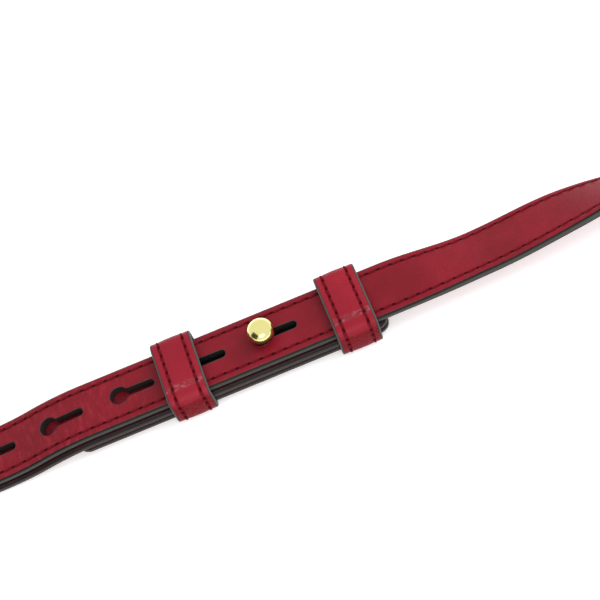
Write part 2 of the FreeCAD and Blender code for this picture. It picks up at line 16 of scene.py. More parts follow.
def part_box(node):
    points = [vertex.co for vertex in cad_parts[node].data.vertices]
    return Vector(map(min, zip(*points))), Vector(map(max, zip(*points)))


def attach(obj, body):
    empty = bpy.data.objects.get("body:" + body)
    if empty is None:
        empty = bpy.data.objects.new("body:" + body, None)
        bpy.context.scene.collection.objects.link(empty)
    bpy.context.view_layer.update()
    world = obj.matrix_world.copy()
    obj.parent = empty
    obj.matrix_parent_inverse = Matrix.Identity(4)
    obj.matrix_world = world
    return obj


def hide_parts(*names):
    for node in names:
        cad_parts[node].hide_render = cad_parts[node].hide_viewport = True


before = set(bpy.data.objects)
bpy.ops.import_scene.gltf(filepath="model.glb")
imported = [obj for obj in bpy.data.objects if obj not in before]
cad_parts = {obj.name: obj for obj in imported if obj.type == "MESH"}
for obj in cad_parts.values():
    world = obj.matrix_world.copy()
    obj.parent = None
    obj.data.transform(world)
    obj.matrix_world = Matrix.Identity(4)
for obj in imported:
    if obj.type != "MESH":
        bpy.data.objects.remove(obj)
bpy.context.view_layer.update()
scene = bpy.context.scene

# %% [markdown]
# ## Sizes
# Places come from the boxes of the CAD nodes. What a box can't tell, such as the radius
# of a bend, is repeated here once, in metres, with a name of its own.

# %% Sizes of the straps
MM = 0.001
WIDTH = 20 * MM
THICK = 3.2 * MM
ROW = 7.3 * MM               # middle of the strap to its row of stitching
PITCH = 4.2 * MM             # one stitch
END_CORNER = 8 * MM
TIP_CORNER = 4 * MM
BEND_START = 62 * MM         # stud axis to the bend that takes the straps down
BEND_RUN = 36 * MM
TWIST_RUN = 132.5 * MM
SINK = 0.14 * MM             # how far a stitch lies below the face
PATCH_LEAD = 10.5 * MM       # the patch's end under the bend, past its box
SETTLE = 12.5                # degrees that the strap tilts by first
TWIST_SAG = 2.0 * MM
TWIST_DRIFT = 2.8 * MM
COIL_LEAD = 20 * MM
COIL_CORE = 12 * MM
COIL_PITCH = 4.2 * MM
COIL_HALF_TURNS = 3
EDGE_SHARE = 0.48            # radius of the rounded edge as a share of the thickness
EDGE_POWER = 2.3             # 2 would be a circle; more is fuller
SWELL = 0.12 * MM            # how far the face rises between its rows
GROOVE = 0.12 * MM           # how deep a row of thread lies

stud_low, stud_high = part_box("stud_ball")
long_low, long_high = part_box("long_strap_face")
tail_low, tail_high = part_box("tail_strap_face")
patch_low, patch_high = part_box("backing_patch")
stored_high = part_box("stored_length")[1]
STUD_X = (stud_low[0] + stud_high[0]) / 2
TAIL_Z = stud_low[2]                       # underside of the tail strap on the stack
LONG_TOP = long_high[2]
TWIST_X = long_high[0]
TAIL_SIDE = (tail_low[1] + tail_high[1]) / 2
print("stud at x %.1f mm, top of the long strap at z %.2f mm" % (STUD_X / MM, LONG_TOP / MM))

# %% [markdown]
# ## A track to carry a section along
# A strap is one flat section carried along a line. A track holds, for many stations, the
# middle of the strap, the direction across it and the direction out of its face. Every
# surface of a strap is then: middle + across * a + out * n. That one formula bends the
# leather, its stitches and its keyholes alike, so nothing can drift apart.


# %% Track helpers
def finish_track(middle, across):
    """Orthonormal frame along a line: out = tangent x across, and run = length so far."""
    tangent = np.gradient(middle, axis=0)
    tangent /= np.linalg.norm(tangent, axis=1)[:, None]
    across = across - tangent * np.sum(across * tangent, axis=1)[:, None]
    across /= np.linalg.norm(across, axis=1)[:, None]
    out = np.cross(tangent, across)
    steps = np.linalg.norm(np.diff(middle, axis=0), axis=1)
    run = np.concatenate([[0], np.cumsum(steps)])
    return {"middle": middle, "across": across, "out": out, "run": run}


def at(track, run, side, rise):
    """Points at a length along a track, a distance across it and a height out of its middle."""
    point = np.zeros(np.shape(run) + (3,))
    for axis in range(3):
        middle = np.interp(run, track["run"], track["middle"][:, axis])
        across = np.interp(run, track["run"], track["across"][:, axis])
        out = np.interp(run, track["run"], track["out"][:, axis])
        point[..., axis] = middle + side * across + rise * out
    return point


def smooth(value):
    """Smooth step 3v^2 - 2v^3 between 0 and 1."""
    value = np.clip(value, 0.0, 1.0)
    return value * value * (3 - 2 * value)


# %% [markdown]
# ## The three stretches of the straps
# The lying stretch is a straight line with one gentle bend made of two equal arcs. The
# twist turns the section by a quarter about the strap's own line. The coil is a double
# spiral of half circles in plan, with the section standing on its edge.


# %% Lying stretch
def lying(x_values, rise):
    """Track above the underside of the tail strap.

    Height over the bend: r - sqrt(r^2 - d^2) on the first arc, mirrored on the second.
    """
    angle = 2 * math.atan(TAIL_Z / BEND_RUN)
    radius = BEND_RUN / (2 * math.sin(angle))
    d = np.clip(x_values - (STUD_X - BEND_START - BEND_RUN), 0, BEND_RUN)
    first = radius - np.sqrt(radius ** 2 - np.minimum(d, BEND_RUN / 2) ** 2)
    second = radius - np.sqrt(radius ** 2 - np.minimum(BEND_RUN - d, BEND_RUN / 2) ** 2)
    height = np.where(d < BEND_RUN / 2, first, TAIL_Z - second)
    lean = np.minimum(d, BEND_RUN - d) / radius
    slope = np.arcsin(np.clip(lean, 0, 1))
    zero = np.zeros_like(x_values)
    out = np.stack([-np.sin(slope), zero, np.cos(slope)], axis=1)
    return np.stack([x_values, zero, height], axis=1) + out * rise


def along_y(count):
    """Direction across a lying strap, repeated."""
    return np.tile([0.0, 1.0, 0.0], (count, 1))


# %% Twist
def twist(shares):
    """Middle and across direction over the quarter turn.

    Angle: the settle angle, then the rest to 90 degrees by a smooth step to the power 1.5.
    """
    angle = SETTLE * smooth(shares / 0.25) + (90 - SETTLE) * smooth((shares - 0.3) / 0.7) ** 1.5
    angle = np.radians(angle)
    start = LONG_TOP - THICK / 2
    sag = TWIST_SAG * np.sin(math.pi * np.minimum(shares / 0.5, 1)) ** 2
    rise = start + (WIDTH / 2 - start) * smooth(shares) - sag
    rise += THICK / 2 * np.cos(angle) * smooth(shares)
    middle = np.stack([TWIST_X + TWIST_RUN * shares, TWIST_DRIFT * smooth(shares), rise], axis=1)
    across = np.stack([np.zeros_like(shares), np.cos(angle), -np.sin(angle)], axis=1)
    return middle, across


# %% Coil
def coil(step):
    """Middle line of the stored length in plan: lead, arm in, S, arm out, straight end.

    Half turn k of an arm has the radius 2 core + (k + 1/2) pitch; the S is two core arcs.
    """
    arm = [2 * COIL_CORE + (k + 0.5) * COIL_PITCH for k in range(COIL_HALF_TURNS)]
    turns = [-r for r in reversed(arm)] + [-COIL_CORE, COIL_CORE] + arm
    x, y, heading = TWIST_X + TWIST_RUN, TWIST_DRIFT, 0.0
    count = int(COIL_LEAD / step)
    points = [np.stack([x + COIL_LEAD * np.arange(count) / count, np.full(count, y)], axis=1)]
    x += COIL_LEAD
    for signed in turns:
        radius = abs(signed)
        side = math.copysign(1.0, signed)
        centre = np.array([x - side * radius * math.sin(heading), y + side * radius * math.cos(heading)])
        count = int(math.pi * radius / step)
        swept = heading + side * math.pi * np.arange(count) / count
        points.append(centre + side * radius * np.stack([np.sin(swept), -np.cos(swept)], axis=1))
        heading += side * math.pi
        x, y = centre + side * radius * np.array([math.sin(heading), -math.cos(heading)])
    count = int((stored_high[0] - x) / step)
    end = np.linspace(x, stored_high[0], count + 1)
    points.append(np.stack([end, np.full(count + 1, y)], axis=1))
    plan = np.concatenate(points)
    middle = np.column_stack([plan, np.full(len(plan), WIDTH / 2)])
    return middle, np.tile([0.0, 0.0, -1.0], (len(plan), 1))


# %% Tracks of the four flat leather pieces
def long_track():
    """Free end, keyholes, twist and coil of the long strap in one track."""
    x_values = np.arange(long_low[0], TWIST_X, 0.8 * MM)
    flat = lying(x_values, LONG_TOP - TAIL_Z - THICK / 2)
    turned, turned_across = twist(np.arange(0, 1, 0.8 * MM / TWIST_RUN))
    coiled, coiled_across = coil(1.5 * MM)
    middle = np.concatenate([flat, turned, coiled])
    across = np.concatenate([along_y(len(flat)), turned_across, coiled_across])
    return finish_track(middle, across)


def tail_track():
    """Tail strap: on the table, up the bend and along the stack."""
    x_values = np.arange(tail_low[0], tail_high[0] + 0.4 * MM, 0.8 * MM)
    x_values[-1] = tail_high[0]
    middle = lying(x_values, THICK / 2)
    middle[:, 1] = TAIL_SIDE
    return finish_track(middle, along_y(len(middle)))


def patch_track():
    """Backing patch, straight under the tail strap."""
    x_values = np.linspace(patch_low[0] - PATCH_LEAD, patch_high[0], 132)
    height = np.full_like(x_values, (patch_low[2] + patch_high[2]) / 2)
    side = np.full_like(x_values, TAIL_SIDE)
    return finish_track(np.stack([x_values, side, height], axis=1), along_y(len(x_values)))


LONG = long_track()
TAIL = tail_track()
PATCH = patch_track()
print("long strap %.0f mm, tail strap %.0f mm" % (LONG["run"][-1] / MM, TAIL["run"][-1] / MM))

# %% [markdown]
# ## From arrays to meshes
# `build` turns a grid of points into a closed mesh. It joins equal points, turns the
# faces outwards by the sign of the volume and stores a UV map. On leather, U is the walk
# along the row of stitching and V the inset from the outline, both in metres, so that a
# material can draw painted edges and needle holes at their true size.


# %% Mesh helpers
def volume_of(points, quads):
    """Signed volume of a closed shell of quads: the sum of its corner tetrahedra."""
    a, b, c, d = (points[quads[:, k]] for k in range(4))
    return np.sum(np.cross(a, b) * c + np.cross(a, c) * d) / 6


def build(name, points, quads, uv):
    """Mesh object of quads with one UV pair for each corner; faces point outwards."""
    if volume_of(points, quads) < 0:
        quads = quads[:, ::-1]
        uv = uv[:, ::-1]
    mesh = bpy.data.meshes.new(name)
    mesh.from_pydata(points.tolist(), [], quads.tolist())
    layer = mesh.uv_layers.new(name="leather")
    layer.data.foreach_set("uv", uv.reshape(-1).astype(np.float32))
    shell = bmesh.new()
    shell.from_mesh(mesh)
    bmesh.ops.remove_doubles(shell, verts=shell.verts, dist=2e-6)
    bmesh.ops.dissolve_degenerate(shell, edges=shell.edges, dist=1e-6)
    shell.to_mesh(mesh)
    shell.free()
    mesh.polygons.foreach_set("use_smooth", [True] * len(mesh.polygons))
    piece = bpy.data.objects.new(name, mesh)
    scene.collection.objects.link(piece)
    return piece


def turn_outwards(mesh):
    """Face normals of a mesh made to agree and point out."""
    shell = bmesh.new()
    shell.from_mesh(mesh)
    bmesh.ops.recalc_face_normals(shell, faces=shell.faces)
    shell.to_mesh(mesh)
    shell.free()


def grid_quads(rows, columns, close_rows, close_columns):
    """Corner numbers of every cell of a grid, with the last row or column joined to the first."""
    i = np.arange(rows if close_rows else rows - 1)[:, None]
    j = np.arange(columns if close_columns else columns - 1)[None, :]
    i2, j2 = (i + 1) % rows, (j + 1) % columns
    cells = [i * columns + j, i2 * columns + j, i2 * columns + j2, i * columns + j2]
    return np.stack([np.broadcast_to(cell, (i.size, j.size)) for cell in cells], axis=-1).reshape(-1, 4)


def cell_corners(values):
    """Values at grid points as the values at the four corners of every cell."""
    corners = [values[:-1, :-1], values[1:, :-1], values[1:, 1:], values[:-1, 1:]]
    return np.stack(corners, axis=2).reshape((-1, 4) + values.shape[2:])


def grid_uv(u, v, close_columns):
    """UV of each corner of each cell; the closing length continues V past its last value."""
    u_end, v_end = u, np.append(v, close_columns)
    return cell_corners(np.stack(np.meshgrid(u_end, v_end, indexing="ij"), axis=-1))


# %% [markdown]
# ## The section of a strap
# On the real strap two plies are glued and sewn, and the cut edge is sanded round and
# painted. So the section has a flat face that swells a little between the rows, a shallow
# groove under each row of thread, and a rounded edge. A Bevel modifier could round a box,
# but a worked-out section gives the groove and the swell in the same pass.


# %% Section
def section(width, thick, corner, row, swell):
    """Closed section of a strap as arrays of distances across and heights, in order round it.

    Face: rise = half thickness + swell (1 - (a / row)^2) - GROOVE exp(-((|a| - row) / 0.45 mm)^2).
    Edge: a quarter of a superellipse of power EDGE_POWER, so that it is full and then rolls over.
    """
    half = width / 2 - corner
    inner = np.linspace(0, row - 0.9 * MM, 12)
    around = np.linspace(row - 0.7 * MM, row + 0.7 * MM, 8)
    outer = np.linspace(row + 0.85 * MM, half, 3)
    a = np.concatenate([inner, around, outer])
    rise = thick / 2 + swell * np.clip(1 - (a / row) ** 2, 0, 1)
    rise = rise - GROOVE * np.exp(-((np.abs(a) - row) / (0.45 * MM)) ** 2)
    turn = np.linspace(math.pi / 2, 0, 10)[1:]
    edge_a = half + corner * np.cos(turn) ** (2 / EDGE_POWER)
    edge_rise = thick / 2 * np.sin(turn) ** (2 / EDGE_POWER)
    quarter_a = np.concatenate([a, edge_a])
    quarter_rise = np.concatenate([rise, edge_rise])
    right_a = np.concatenate([quarter_a, quarter_a[::-1][1:]])
    right_rise = np.concatenate([quarter_rise, -quarter_rise[::-1][1:]])
    full_a = np.concatenate([right_a, -right_a[::-1][1:-1]])
    full_rise = np.concatenate([right_rise, right_rise[::-1][1:-1]])
    return full_a, full_rise


def end_stations(track, corner):
    """Lengths along a track, crowded over each rounded end."""
    total = track["run"][-1]
    near = corner * (1 - np.cos(np.linspace(0, math.pi / 2, 16)))
    middle = track["run"][(track["run"] > corner * 1.05) & (track["run"] < total - corner * 1.05)]
    return np.concatenate([near, middle, (total - near)[::-1]])


def sewing_map(run, side, length, first_corner, last_corner):
    """Walk along the row of stitching and inset from the outline, for points of a flat strap.

    Along the sides the walk is the run and the inset is half the width less the side. Round
    an end the nearest outline is an arc or the end line, and the walk is stretched a little
    so that a whole number of stitches fits between the two sides.
    """
    side = np.broadcast_to(side, np.broadcast_shapes(run.shape, side.shape))
    run = np.broadcast_to(run, side.shape)
    inset = np.minimum(WIDTH / 2 - np.abs(side), np.minimum(run, length - run))
    walk = run.copy()
    for distance, corner in ((run, first_corner), (length - run, last_corner)):
        radius, half = corner - (WIDTH / 2 - ROW), WIDTH / 2 - corner
        back, out = corner - distance, np.abs(side) - half
        whole = math.pi * radius + 2 * half
        stretch = round(whole / PITCH) * PITCH / whole
        angle = np.arctan2(np.maximum(back, 0), np.maximum(out, 1e-9))
        on_arc = np.where(side > 0, radius * angle, whole - radius * angle)
        on_line = radius * math.pi / 2 + half - side
        walk = np.where(back > 0, np.where(out > 0, on_arc, on_line) * stretch, walk)
        inset = np.where((back > 0) & (out > 0), corner - np.hypot(back, out), inset)
    return walk, inset


def ring_corners(values):
    """Corner values of the cells of a grid whose last column joins its first."""
    return cell_corners(np.concatenate([values, values[:, :1]], axis=1))


def strap_piece(name, track, thick, first_corner, last_corner):
    """Leather strap: the section carried along a track, narrowed and thinned at rounded ends.

    Half width at distance d from an end of corner radius c: w/2 - c + sqrt(c^2 - (c - d)^2).
    The height of the section shrinks over the last stretch as a quarter circle.
    """
    corner = EDGE_SHARE * thick
    a, rise = section(WIDTH, thick, corner, ROW, SWELL)
    run = end_stations(track, max(first_corner, last_corner))
    length = track["run"][-1]
    half = np.full_like(run, WIDTH / 2)
    thin = np.ones_like(run)
    for distance, radius in ((run, first_corner), (length - run, last_corner)):
        d = np.minimum(distance, radius)
        arc = np.sqrt(np.maximum(radius ** 2 - (radius - d) ** 2, 0))
        half = np.minimum(half, WIDTH / 2 - radius + arc)
        dome = np.minimum(distance / corner, 1)
        thin = np.minimum(thin, np.sqrt(np.maximum(1 - (1 - dome) ** 2, 0)))
    rim = corner * 1.2
    inside = np.abs(a) < WIDTH / 2 - rim
    scaled = a[None, :] * ((half - rim) / (WIDTH / 2 - rim))[:, None]
    shifted = np.sign(a)[None, :] * (half[:, None] - (WIDTH / 2 - np.abs(a))[None, :])
    side = np.where(inside[None, :], scaled, shifted)
    walked = np.broadcast_to(run[:, None], side.shape)
    points = at(track, walked, side, thin[:, None] * rise[None, :])
    quads = grid_quads(len(run), len(a), False, True)
    walk, inset = sewing_map(run[:, None], side, length, first_corner, last_corner)
    uv = np.stack([ring_corners(walk), ring_corners(inset)], axis=-1)
    return build(name, points.reshape(-1, 3), quads, uv)


long_strap = strap_piece("long_strap", LONG, THICK, END_CORNER, END_CORNER)
tail_strap = strap_piece("tail_strap", TAIL, THICK, END_CORNER, TIP_CORNER)
patch_thick = patch_high[2] - patch_low[2]
patch = strap_piece("patch_leather", PATCH, patch_thick, TIP_CORNER, TIP_CORNER)
for piece in (long_strap, tail_strap, patch):
    print(piece.name, len(piece.data.polygons), "faces")

# %% [markdown]
# ## Keyholes and button holes
# The holes are punched through both plies and their walls are painted like the edges.
# A Boolean with a prism that follows the strap cuts the hole, and a thin painted lip is
# laid round it afterwards, because a punched edge is slightly rounded and catches light.

# %% Hole outlines
KEYHOLE_RAD = 3.15 * MM
SLOT_HALF = 1.5 * MM
SLOT_REACH = 12.35 * MM
KEYHOLE_PITCH = 25 * MM
KEYHOLE_PLAY = 0.6 * MM      # the stud sits this far towards the slot
BUTTON_RAD = 4 * MM
SLIT_HALF = 0.5 * MM
SLIT_REACH = 11 * MM
BUTTON_MARGIN = 13 * MM
LIP_PROUD = 0.24 * MM        # how far both faces of a lip stand proud together
BUTTON_LIP_PROUD = 0.2 * MM


def keyhole_outline(radius, half, reach, tip_steps=10, round_steps=40):
    """Outline of a round hole with a slot towards +a, walked anticlockwise, as (n, 2)."""
    opening = math.asin(half / radius)
    arc = np.linspace(opening, 2 * math.pi - opening, round_steps)
    ring = radius * np.stack([np.cos(arc), np.sin(arc)], axis=1)
    tip = np.linspace(-math.pi / 2, math.pi / 2, tip_steps)
    end = np.stack([reach - half + half * np.cos(tip), half * np.sin(tip)], axis=1)
    return np.concatenate([ring, end])


def punch(piece, track, places, outline, direction):
    """Cut one prism through a strap at each place along its track."""
    count = len(outline)
    run = places[:, None] + direction * outline[None, :, 0]
    side = np.broadcast_to(outline[None, :, 1], run.shape)
    top = at(track, run, side, 3 * MM)
    low = at(track, run, side, -3 * MM)
    points = np.concatenate([top, low], axis=1).reshape(-1, 3)
    faces = []
    for number in range(len(places)):
        first = number * 2 * count
        ring = np.arange(count)
        after = (ring + 1) % count
        below = first + count
        walls = np.stack([first + ring, first + after, below + after, below + ring], axis=1)
        faces += walls.tolist()
        faces += [(first + ring[::-1]).tolist(), (below + ring).tolist()]
    mesh = bpy.data.meshes.new("punch")
    mesh.from_pydata(points.tolist(), [], faces)
    turn_outwards(mesh)
    tool = bpy.data.objects.new("punch", mesh)
    scene.collection.objects.link(tool)
    cut = piece.modifiers.new("punch", "BOOLEAN")
    cut.operation = "DIFFERENCE"
    cut.solver = "EXACT"
    cut.object = tool
    bpy.context.view_layer.update()
    cut_piece = piece.evaluated_get(bpy.context.evaluated_depsgraph_get())
    done = bpy.data.meshes.new_from_object(cut_piece)
    piece.modifiers.clear()
    before = piece.data
    piece.data = done
    done.name = piece.name
    bpy.data.meshes.remove(before)
    bpy.data.objects.remove(tool)
    done.polygons.foreach_set("use_smooth", [True] * len(done.polygons))


def run_at_x(track, x):
    """Length along a track whose x grows steadily, at a given x."""
    return np.interp(x, track["middle"][:, 0], track["run"])


flat_count = int(np.searchsorted(LONG["middle"][:, 0], TWIST_X))
flat_part = {key: value[:flat_count] for key, value in LONG.items()}
keyhole_count = 6
keyhole_runs = run_at_x(flat_part, STUD_X - KEYHOLE_PLAY - KEYHOLE_PITCH * np.arange(keyhole_count))
keyhole = keyhole_outline(KEYHOLE_RAD, SLOT_HALF, SLOT_REACH)
button_hole = keyhole_outline(BUTTON_RAD, SLIT_HALF, SLIT_REACH)
punch(long_strap, LONG, keyhole_runs, keyhole, 1)
far_button = np.array([LONG["run"][-1] - BUTTON_MARGIN])
tail_button = np.array([BUTTON_MARGIN])
punch(long_strap, LONG, far_button, button_hole, -1)
punch(tail_strap, TAIL, tail_button, button_hole, 1)
print("keyholes:", keyhole_count, "- faces of the long strap:", len(long_strap.data.polygons))


# %% Painted lips
def lip_section(thick):
    """Section of a painted lip: out on the face, over the corner, down the wall, back out."""
    half = thick / 2
    down = [0.20, 0.13, 0.04, -0.05, -0.09, -0.10]
    out = np.array(down + [-0.10, -0.09, -0.05, 0.04, 0.20]) * MM
    drop = np.array([0.10, -0.05, -0.06, 0.02, 0.25, 0.8]) * MM
    rise = np.concatenate([half - drop, -(half - drop)[::-1][1:]])
    return out, rise


def lips(name, track, places, outline, direction, thick):
    """Painted lip round each hole: the lip's section carried round the outline."""
    tangent = np.roll(outline, -1, axis=0) - np.roll(outline, 1, axis=0)
    tangent /= np.linalg.norm(tangent, axis=1)[:, None]
    away = np.stack([tangent[:, 1], -tangent[:, 0]], axis=1)
    out, rise = lip_section(thick)
    spread = outline[:, None, :] + away[:, None, :] * out[None, :, None]
    run = places[:, None, None] + direction * spread[None, :, :, 0]
    side = np.broadcast_to(spread[None, :, :, 1], run.shape)
    points = at(track, run, side, np.broadcast_to(rise[None, None, :], run.shape))
    quads = grid_quads(len(outline), len(out), True, False)
    size = len(outline) * len(out)
    every = np.concatenate([quads + number * size for number in range(len(places))])
    uv = np.zeros((len(every), 4, 2))
    piece = build(name, points.reshape(-1, 3), every, uv)
    turn_outwards(piece.data)
    return piece


keyhole_lips = lips("keyhole_lips", LONG, keyhole_runs, keyhole, 1, THICK + LIP_PROUD)
far_lip = lips("far_button_lip", LONG, far_button, button_hole, -1, THICK + BUTTON_LIP_PROUD)
tail_lip = lips("tail_button_lip", TAIL, tail_button, button_hole, 1, THICK + BUTTON_LIP_PROUD)

# %% [markdown]
# ## Stitches
# A lock stitch shows as a short thread that rises from one needle hole, lies on the
# leather and dives into the next. One row would be thousands of objects, so all the
# stitches of a row are one array: stitch by point along it by point round it. They follow
# the strap's own outline, so the rows turn with its rounded ends.


# %% Stitch path
def stitch_path(length, first_corner, last_corner, inset):
    """Closed walk at an inset inside a strap's outline: places, sides and directions of stitches."""
    half = WIDTH / 2 - inset
    first = first_corner - inset
    last = last_corner - inset
    whole_first, whole_last = math.ceil(first_corner / PITCH), math.floor((length - last_corner) / PITCH)
    straight = np.arange(whole_first, whole_last) * PITCH
    straight = straight + PITCH / 2
    runs = [straight, straight]
    sides = [np.full_like(straight, half), np.full_like(straight, -half)]
    turns = [np.zeros_like(straight), np.full_like(straight, math.pi)]
    for near_end, radius, corner in ((True, first, first_corner), (False, last, last_corner)):
        flat = 2 * (half - radius)
        whole = math.pi * radius + flat
        count = int(round(whole / PITCH))
        walk = (np.arange(count) + 0.5) * whole / count
        quarter = math.pi / 2 * radius
        angle = np.clip(walk / radius, 0, math.pi / 2)
        angle = angle + np.clip((walk - quarter - flat) / radius, 0, math.pi / 2)
        across = np.clip(walk - quarter, 0, flat)
        side = half - radius - across + radius * np.cos(angle)
        reach = radius * np.sin(angle)
        runs.append(corner - reach if near_end else length - corner + reach)
        sides.append(side)
        turns.append(angle + math.pi if near_end else -angle)
    return np.concatenate(runs), np.concatenate(sides), np.concatenate(turns)


def stitches(track, run, side, turn, level, face, long=3.5 * MM, thread=0.34 * MM):
    """Threads as tubes: rise = level + arch (1 - u^4) - dive u^8, u from -1 to 1 along each.

    The radius shrinks towards both ends.
    """
    u = np.linspace(-1, 1, 9)
    arch = 0.20 * MM * (1 - u ** 4) - 0.75 * MM * u ** 8
    slant = 0.28 * MM
    radius = thread * (1 - 0.35 * u ** 6)
    around = np.arange(6) * math.pi / 3
    direction = np.stack([np.cos(turn), np.sin(turn)], axis=1)
    normal = np.stack([-np.sin(turn), np.cos(turn)], axis=1)
    along = np.stack([run, side], axis=1)[:, None, :] + direction[:, None, :] * (u * long / 2)[None, :, None]
    along = along + normal[:, None, :] * (slant * u)[None, :, None]
    spread = radius[:, None] * np.cos(around)[None, :]
    lift = radius[:, None] * np.sin(around)[None, :] * 0.85 + arch[:, None]
    place = along[:, :, None, :] + normal[:, None, None, :] * spread[None, :, :, None]
    rise = np.broadcast_to(face * (level + lift)[None], place.shape[:-1])
    points = at(track, place[..., 0], place[..., 1], rise)
    quads = grid_quads(len(u), len(around), False, True)
    size = len(u) * len(around)
    every = (quads[None] + np.arange(len(run))[:, None, None] * size).reshape(-1, 4)
    uv = np.tile(grid_uv(u, np.arange(6.0), close_columns=6.0), (len(run), 1, 1))
    return points.reshape(-1, 3), every, uv


def stitch_piece(name, *groups):
    """One piece out of several groups of stitches."""
    points, quads, uvs, offset = [], [], [], 0
    for group_points, group_quads, group_uv in groups:
        if volume_of(group_points, group_quads) < 0:
            group_quads, group_uv = group_quads[:, ::-1], group_uv[:, ::-1]
        points.append(group_points)
        quads.append(group_quads + offset)
        uvs.append(group_uv)
        offset += len(group_points)
    mesh = bpy.data.meshes.new(name)
    mesh.from_pydata(np.concatenate(points).tolist(), [], np.concatenate(quads).tolist())
    layer = mesh.uv_layers.new(name="leather")
    layer.data.foreach_set("uv", np.concatenate(uvs).reshape(-1).astype(np.float32))
    mesh.polygons.foreach_set("use_smooth", [True] * len(mesh.polygons))
    piece = bpy.data.objects.new(name, mesh)
    scene.collection.objects.link(piece)
    return piece


def strap_rows(name, track, first_corner, last_corner, thick, half_sign, faces=(1, -1)):
    """The near or far half of a strap's stitches, on its face and on its underside."""
    run, side, turn = stitch_path(track["run"][-1], first_corner, last_corner, WIDTH / 2 - ROW)
    keep = side * half_sign > 0
    groups = []
    for face in faces:
        groups.append(stitches(track, run[keep], side[keep], turn[keep], thick / 2 - SINK, face))
    return stitch_piece(name, *groups)


long_near = strap_rows("long_stitches_near", LONG, END_CORNER, END_CORNER, THICK, -1)
long_far = strap_rows("long_stitches_far", LONG, END_CORNER, END_CORNER, THICK, 1)
tail_near = strap_rows("tail_stitches_near", TAIL, END_CORNER, TIP_CORNER, THICK, -1)
tail_far = strap_rows("tail_stitches_far", TAIL, END_CORNER, TIP_CORNER, THICK, 1)
patch_sizes = (PATCH, TIP_CORNER, TIP_CORNER, patch_thick)
patch_stitches = strap_rows("patch_stitches", *patch_sizes, 1, faces=(-1,))
patch_stitches_near = strap_rows("patch_stitches_near", *patch_sizes, -1, faces=(-1,))
print("stitch faces:", sum(len(p.data.polygons) for p in (long_near, long_far, tail_near, tail_far)))

# %% [markdown]
# ## Keepers
# A keeper is a strip of thinner leather bent round the layers, sewn near both sides and
# painted on both cut edges. Its section is carried round a loop whose four corners whose four corners have
# radii of their own, because the leather rolls over the far edge and folds tighter elsewhere.

# %% Keeper surface
KEEPER_THICK = 1.5 * MM
KEEPER_RIM = 0.72 * MM
KEEPER_ROW = 4.2 * MM
KEEPER_PITCH = 3.3 * MM
KEEPER_SWELL = 0.16 * MM
KEEPER_SINK = 0.12 * MM
FAR_TOP, FAR_LOW, NEAR_LOW, NEAR_TOP = 3.8 * MM, 2.3 * MM, 2.3 * MM, 2.8 * MM


def keeper_track(node):
    """Closed loop in YZ through the middle of the keeper's leather, walked over the top first."""
    low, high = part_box(node)
    inset = KEEPER_THICK / 2
    y0, y1, z0, z1 = low[1] + inset, high[1] - inset, low[2] + inset, high[2] - inset
    points = []
    corners = ((y1, z1, FAR_TOP), (y1, z0, FAR_LOW), (y0, z0, NEAR_LOW), (y0, z1, NEAR_TOP))
    for number, (y, z, outer) in enumerate(corners):
        radius = outer - inset
        centre = np.array([y - math.copysign(radius, y), z - radius if z == z1 else z + radius])
        angle = math.pi / 2 - number * math.pi / 2 - np.linspace(0, math.pi / 2, 14)
        points.append(centre + radius * np.stack([np.cos(angle), np.sin(angle)], axis=1))
    ring = np.concatenate(points)
    ring = np.concatenate([ring, ring[:1]])
    walked = np.concatenate([[0], np.cumsum(np.linalg.norm(np.diff(ring, axis=0), axis=1))])
    count = 150
    run = np.linspace(0, walked[-1], count + 1)
    y = np.interp(run, walked, ring[:, 0])
    z = np.interp(run, walked, ring[:, 1])
    for _ in range(2):
        y[:-1] = (np.roll(y[:-1], 1) + y[:-1] + np.roll(y[:-1], -1)) / 3
        z[:-1] = (np.roll(z[:-1], 1) + z[:-1] + np.roll(z[:-1], -1)) / 3
        y[-1], z[-1] = y[0], z[0]
    middle = np.stack([np.full_like(y, (low[0] + high[0]) / 2), y, z], axis=1)
    padded = np.concatenate([middle[-2:-1], middle, middle[1:2]])
    tangent = (padded[2:] - padded[:-2])
    tangent /= np.linalg.norm(tangent, axis=1)[:, None]
    across = np.tile([1.0, 0.0, 0.0], (len(middle), 1))
    out = np.cross(tangent, across)
    centre = np.array([0, (y0 + y1) / 2, (z0 + z1) / 2])
    if np.sum(out[:, 1:] * (middle[:, 1:] - centre[1:])) < 0:
        across, out = -across, -out
    steps = np.linalg.norm(np.diff(middle, axis=0), axis=1)
    run = np.concatenate([[0], np.cumsum(steps)])
    return {"middle": middle, "across": across, "out": out, "run": run}


